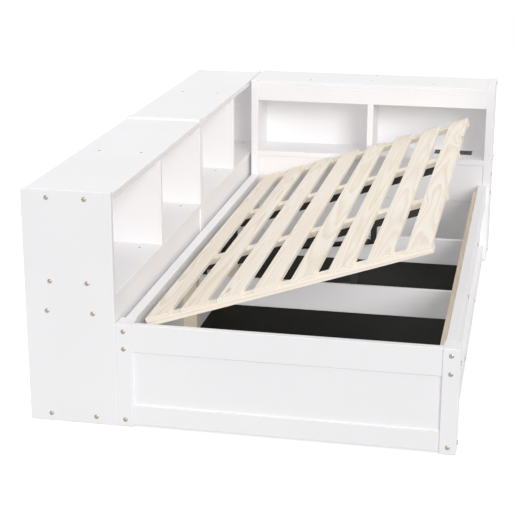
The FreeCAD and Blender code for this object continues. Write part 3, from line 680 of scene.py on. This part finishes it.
@dataclass
class PowerOutlet:
    """Sockets and charging ports that sit in the recesses of the outlet's face.

    Attributes:
        first: Share of the outlet's width at the first socket's middle.
        second: The same for the second socket.
        ports: The same for the two charging ports.
        rim: Width of the flange around the face.
        dish_radius: Radius of a socket's insert.
        recess: Depth of the recesses below the face.
        slot_shade: Width, length and height of the black bar on an insert that is painted
        shade of a socket's slot opening.
        slot_aside: How far a slot lies to the side of the socket's middle.
        slot_back: How far the slots lie behind it.
        short_share: Length of the right slot as a share of the left one's.
        earth_ahead: How far the third, earth slot's painted shade lies in front of it.
        earth_share: Its width and length as shares of a slot's width.
        slot_shade_depth: Depth of the slots' painted shade as a share of the recess.
        port_offset: Distance of a port from the middle of both.
        tongue: Width, length and height of the tongue in a port.
        tongue_rise: Height of the tongue's middle above the recess.
        edge: Rounding of the bars.
    """

    first: float = 0.22
    second: float = 0.56
    ports: float = 0.86
    rim: float = 4.0 * MM
    dish_radius: float = 14.6 * MM
    recess: float = 3.0 * MM
    # Black bars of painted shade stand for the socket slots' openings.
    slot_shade: tuple[float, float, float] = (1.8 * MM, 7.0 * MM, 0.5 * MM)
    slot_aside: float = 3.2 * MM
    slot_back: float = 1.5 * MM
    short_share: float = 0.85
    earth_ahead: float = 5.4 * MM
    earth_share: Pair = (2.6, 2.4)
    slot_shade_depth: float = 0.70
    port_offset: float = 10.5 * MM
    tongue: tuple[float, float, float] = (8.0 * MM, 2.0 * MM, 1.6 * MM)
    tongue_rise: float = 0.7 * MM
    edge: float = 0.18 * MM

    def middle(self, share: float) -> Vector:
        """Return the point on the outlet's face at a share of its width."""
        low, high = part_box("headboard_power_outlet")
        x0 = low[0] + self.rim
        x1 = high[0] - self.rim
        return Vector((x0 + share * (x1 - x0), (low[1] + high[1]) / 2, high[2]))

    def inserts(self, material: bpy.types.Material) -> bpy.types.Object:
        """Spin a dished insert for each socket.

        Args:
            material: Grey plastic.

        Returns:
            Both inserts as one piece.
        """
        shape = bmesh.new()
        profile = [(r * self.dish_radius, z * self.recess) for r, z in DISH_PROFILE]
        for share in (self.first, self.second):
            made = spun(shape, profile, DISH_STEPS)
            bmesh.ops.translate(shape, vec=self.middle(share), verts=made)
        return finished_piece(shape, "outlet_inserts", material, "bed_frame")

    def slot_shades_and_tongues(self, material: bpy.types.Material) -> bpy.types.Object:
        """Build black bars as painted shade of the sockets' slots, and the ports' tongues.

        Args:
            material: Black plastic.

        Returns:
            All the bars as one piece.
        """
        shape = bmesh.new()
        wide, long, high = self.slot_shade
        bars = []
        # Each socket's slots are black bars just above the insert's floor: painted shade of the
        # openings.
        for share in (self.first, self.second):
            foot = self.middle(share) - Vector((0.0, 0.0, self.slot_shade_depth * self.recess))
            left = Vector((-self.slot_aside, self.slot_back, 0.0))
            right = Vector((self.slot_aside, self.slot_back, 0.0))
            ahead = Vector((0.0, -self.earth_ahead, 0.0))
            bars += [(foot + left, (wide, long, high)),
                     (foot + right, (wide, long * self.short_share, high)),
                     (foot + ahead, (*(part * wide for part in self.earth_share), high))]
        for side in (-1, 1):
            foot = self.middle(self.ports) + Vector((0.0, side * self.port_offset, -self.recess))
            bars.append((foot + Vector((0.0, 0.0, self.tongue_rise)), self.tongue))
        for place, size in bars:
            scale = Matrix.Diagonal((*size, 1.0))
            cube = bmesh.ops.create_cube(shape, size=1.0, matrix=Matrix.Translation(place) @ scale)
            edges = list({e for v in cube["verts"] for e in v.link_edges})
            bmesh.ops.bevel(shape, geom=edges, offset=self.edge, segments=2, profile=0.5,
                            affect="EDGES", material=-1)
        return finished_piece(shape, "outlet_slot_shades_and_tongues", material, "bed_frame")


# ---- Gas struts ----------------------------------------------------------
RING_STEPS = 32


@dataclass
class StrutDress:
    """Seal collar, crimp ring and end sleeve on a strut's tube.

    Attributes:
        low: The strut's lower pin in X and Z.
        high: Its upper pin in X and Z.
        body_length: Length of the tube.
        radius: The tube's radius.
        collar: Seal collar's distance past the tube's mouth, its width and height.
        crimp: The same for the crimp ring.
        sleeve: The same for the sleeve, measured from the upper pin.
        grip: Inner radius of the rings as a share of the tube's radius.
        lip: Height of a ring's bevel as a share of how far it stands out.
        bevel: Width of the bevel, likewise.
    """

    low: Pair = (-0.2903, 0.186)
    high: Pair = (0.2497, 0.260)
    body_length: float = 300.0 * MM
    radius: float = 10.0 * MM
    collar: Triple = (0.5 * MM, 9.0 * MM, 1.1 * MM)
    crimp: Triple = (22.0 * MM, 2.0 * MM, 0.5 * MM)
    sleeve: Triple = (-26.0 * MM, 10.0 * MM, 1.0 * MM)
    grip: float = 0.96
    lip: float = 0.4
    bevel: float = 0.5

    def along(self, y: float, distance: float) -> Matrix:
        """Return the place and turn of a ring at a distance from the lower pin."""
        start = Vector((self.low[0], y, self.low[1]))
        reach = Vector((self.high[0], y, self.high[1])) - start
        turn = reach.to_track_quat("Z", "Y").to_matrix().to_4x4()
        return Matrix.Translation(start + reach.normalized() * distance) @ turn

    def ring(self, shape: bmesh.types.BMesh, place: Matrix, width: float, proud: float) -> None:
        """Spin one rounded ring that grips the tube.

        Args:
            shape: Mesh that takes the ring.
            place: Where the ring's lower edge goes.
            width: The ring's width.
            proud: How far it stands out of the tube.
        """
        inner = self.radius * self.grip
        outer = self.radius + proud
        rim = outer - proud * self.lip
        bevel = proud * self.bevel
        profile = [(inner, 0.0), (rim, 0.0), (outer, bevel), (outer, width - bevel),
                   (rim, width), (inner, width)]
        made = spun(shape, profile + profile[:1], RING_STEPS)
        bmesh.ops.transform(shape, matrix=place, verts=made)

    def build(self, which: str, finishes: "Finishes") -> bpy.types.Object:
        """Dress one strut.

        Args:
            which: "front" or "rear".
            finishes: The part's materials.

        Returns:
            The rings as one piece.
        """
        low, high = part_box("strut_cylinder_" + which)
        y = (low[1] + high[1]) / 2
        length = math.hypot(self.high[0] - self.low[0], self.high[1] - self.low[1])
        mouth = length - self.body_length
        shape = bmesh.new()
        for origin, (past, width, proud) in ((mouth, self.collar), (mouth, self.crimp),
                                             (length, self.sleeve)):
            self.ring(shape, self.along(y, origin + past), width, proud)
        return finished_piece(shape, "strut_rings_" + which, finishes.rubber,
                              "strut_cylinder_%s_body" % which)


# ---- Stage, light and camera ---------------------------------------------
@dataclass(frozen=True)
class SoftSun:
    """A wide even light from one direction.

    Attributes:
        name: Name of the lamp.
        source: Direction that the light comes from.
        strength: Its strength on a surface that faces it.
        spread_deg: Angle across the light, which softens its shadows.
        shadow: Whether it casts shadows; a fill light reaches into every bay.
    """

    name: str
    source: Triple
    strength: float
    spread_deg: float
    shadow: bool = True


@dataclass(frozen=True)
class CameraFit:
    """Camera that matches the photograph's view of the object."""

    place: Triple = (0.82518, -4.81662, 1.76032)
    turn_left_deg: float = 11.643
    tilt_down_deg: float = 17.373
    roll_deg: float = 0.064
    lens_mm: float = 95.16
    sensor_mm: float = 36.0


SUNS = (
    SoftSun("front_fill", (0.22, -0.93, 0.26), 0.52, 16.0, shadow=False),
    SoftSun("front_right", (0.50, -0.81, 0.38), 1.40, 24.0),
    SoftSun("top", (-0.06, 0.05, 1.0), 0.42, 60.0),
    SoftSun("rear_left_fill", (-0.70, 0.45, 0.55), 0.62, 50.0, shadow=False),
)
WORLD_LIGHT = 0.55
WORLD_TINT = (0.98, 0.985, 1.0, 1.0)
PURE_WHITE = (1.0, 1.0, 1.0, 1.0)
LAMP_DISTANCE = 4.0
FLOOR_SPAN = 14.0
FLOOR_DROP = 0.5 * MM
FLOOR_GLOW = 0.66
FLOOR_SEEN = 0.48
FLOOR_BOUNCE = 0.36


def white_to_camera(tree: bpy.types.NodeTree, seen: bpy.types.NodeSocket,
                    other: bpy.types.NodeSocket, target: bpy.types.NodeSocket) -> None:
    """Show one shader to the camera and in reflections, and another to other rays.

    Args:
        tree: Node tree to build in.
        seen: Shader that the camera and mirrors see.
        other: Shader that lights the object.
        target: Socket that takes the result.
    """
    path = tree.nodes.new("ShaderNodeLightPath")
    factor = path.outputs["Is Camera Ray"]
    for name in ("Is Glossy Ray", "Is Transmission Ray"):
        largest = tree.nodes.new("ShaderNodeMath")
        largest.operation = "MAXIMUM"
        tree.links.new(factor, largest.inputs[0])
        tree.links.new(path.outputs[name], largest.inputs[1])
        factor = largest.outputs[0]
    mix = tree.nodes.new("ShaderNodeMixShader")
    tree.links.new(factor, mix.inputs[0])
    tree.links.new(other, mix.inputs[1])
    tree.links.new(seen, mix.inputs[2])
    tree.links.new(mix.outputs[0], target)


def build_floor() -> bpy.types.Object:
    """Lay a pale floor that shows as white and keeps the bed's shadow."""
    shape = bmesh.new()
    bmesh.ops.create_grid(shape, x_segments=4, y_segments=4, size=FLOOR_SPAN / 2)
    mesh = bpy.data.meshes.new("floor")
    shape.to_mesh(mesh)
    shape.free()
    floor = bpy.data.objects.new("floor", mesh)
    bpy.context.scene.collection.objects.link(floor)
    graph = Graph("floor_white")
    glow = graph.node("ShaderNodeEmission", Color=(1.0, 1.0, 1.0), Strength=FLOOR_GLOW)
    matte = graph.node("ShaderNodeBsdfDiffuse", Color=(FLOOR_BOUNCE,) * 3)
    shadowed = graph.node("ShaderNodeBsdfDiffuse", Color=(FLOOR_SEEN,) * 3)
    seen = graph.node("ShaderNodeAddShader")
    graph.fill(seen.inputs[0], glow.outputs[0])
    graph.fill(seen.inputs[1], shadowed.outputs[0])
    out = graph.node("ShaderNodeOutputMaterial")
    white_to_camera(graph.tree, seen.outputs[0], matte.outputs[0], out.inputs["Surface"])
    mesh.materials.append(graph.material)
    floor.location.z = CAD_BOUNDS[0][2] - FLOOR_DROP
    return floor


def build_world() -> None:
    """Give the world an even pale light that the camera sees as white."""
    world = bpy.data.worlds.new("studio")
    world.use_nodes = True
    tree = world.node_tree
    tree.nodes.clear()
    seen = tree.nodes.new("ShaderNodeBackground")
    seen.inputs[1].default_value = 1.0
    seen.inputs[0].default_value = PURE_WHITE
    light = tree.nodes.new("ShaderNodeBackground")
    light.inputs[0].default_value = WORLD_TINT
    light.inputs[1].default_value = WORLD_LIGHT
    out = tree.nodes.new("ShaderNodeOutputWorld")
    white_to_camera(tree, seen.outputs[0], light.outputs[0], out.inputs["Surface"])
    bpy.context.scene.world = world


def build_lights() -> None:
    """Hang the even lights."""
    for sun in SUNS:
        light = bpy.data.lights.new(sun.name, "SUN")
        light.energy = sun.strength
        light.angle = math.radians(sun.spread_deg)
        light.use_shadow = sun.shadow
        lamp = bpy.data.objects.new(sun.name, light)
        lamp.rotation_euler = Vector(sun.source).to_track_quat("Z", "Y").to_euler()
        lamp.location = Vector(sun.source) * LAMP_DISTANCE
        bpy.context.scene.collection.objects.link(lamp)


def build_camera(fit: CameraFit) -> None:
    """Place the camera at the photograph's viewpoint."""
    camera = bpy.data.cameras.new("camera")
    camera.lens = fit.lens_mm
    camera.sensor_width = fit.sensor_mm
    camera.sensor_fit = "HORIZONTAL"
    holder = bpy.data.objects.new("camera", camera)
    bpy.context.scene.collection.objects.link(holder)
    turn = Matrix.Rotation(math.radians(fit.turn_left_deg), 4, "Z")
    tilt = Matrix.Rotation(math.radians(90.0 - fit.tilt_down_deg), 4, "X")
    roll = Matrix.Rotation(math.radians(fit.roll_deg), 4, "Z")
    holder.matrix_world = Matrix.Translation(fit.place) @ turn @ tilt @ roll
    bpy.context.scene.camera = holder


def main() -> None:
    """Finish the frame, build the fine pieces, then the stage."""
    logging.basicConfig(level=logging.INFO, format="%(message)s")
    finishes = Finishes()
    finish_frame(finishes)
    fasteners = Fasteners()
    fasteners.build("panel_bolts", "socket_bolts", finishes.zinc, BOLT_PROFILE,
                    SHANK_LENGTH / (SHANK_LENGTH + BOLT_HEAD_HEIGHT), BOLT_SOCKET_SHARE)
    fasteners.build("board_screws", "board_screw_heads", finishes.screw_zinc, SCREW_PROFILE,
                    SHANK_LENGTH / (SHANK_LENGTH + SCREW_HEAD_HEIGHT), SCREW_SOCKET_SHARE)
    outlet = PowerOutlet()
    outlet.inserts(finishes.grey_plastic)
    # Painted shade of the socket slots as black bars, and the ports' tongues.
    outlet.slot_shades_and_tongues(finishes.plastic)
    for which in ("front", "rear"):
        StrutDress().build(which, finishes)
    build_floor()
    build_world()
    build_lights()
    build_camera(CameraFit())
    bpy.context.scene.view_settings.view_transform = "Standard"


if __name__ == "__main__":
    main()
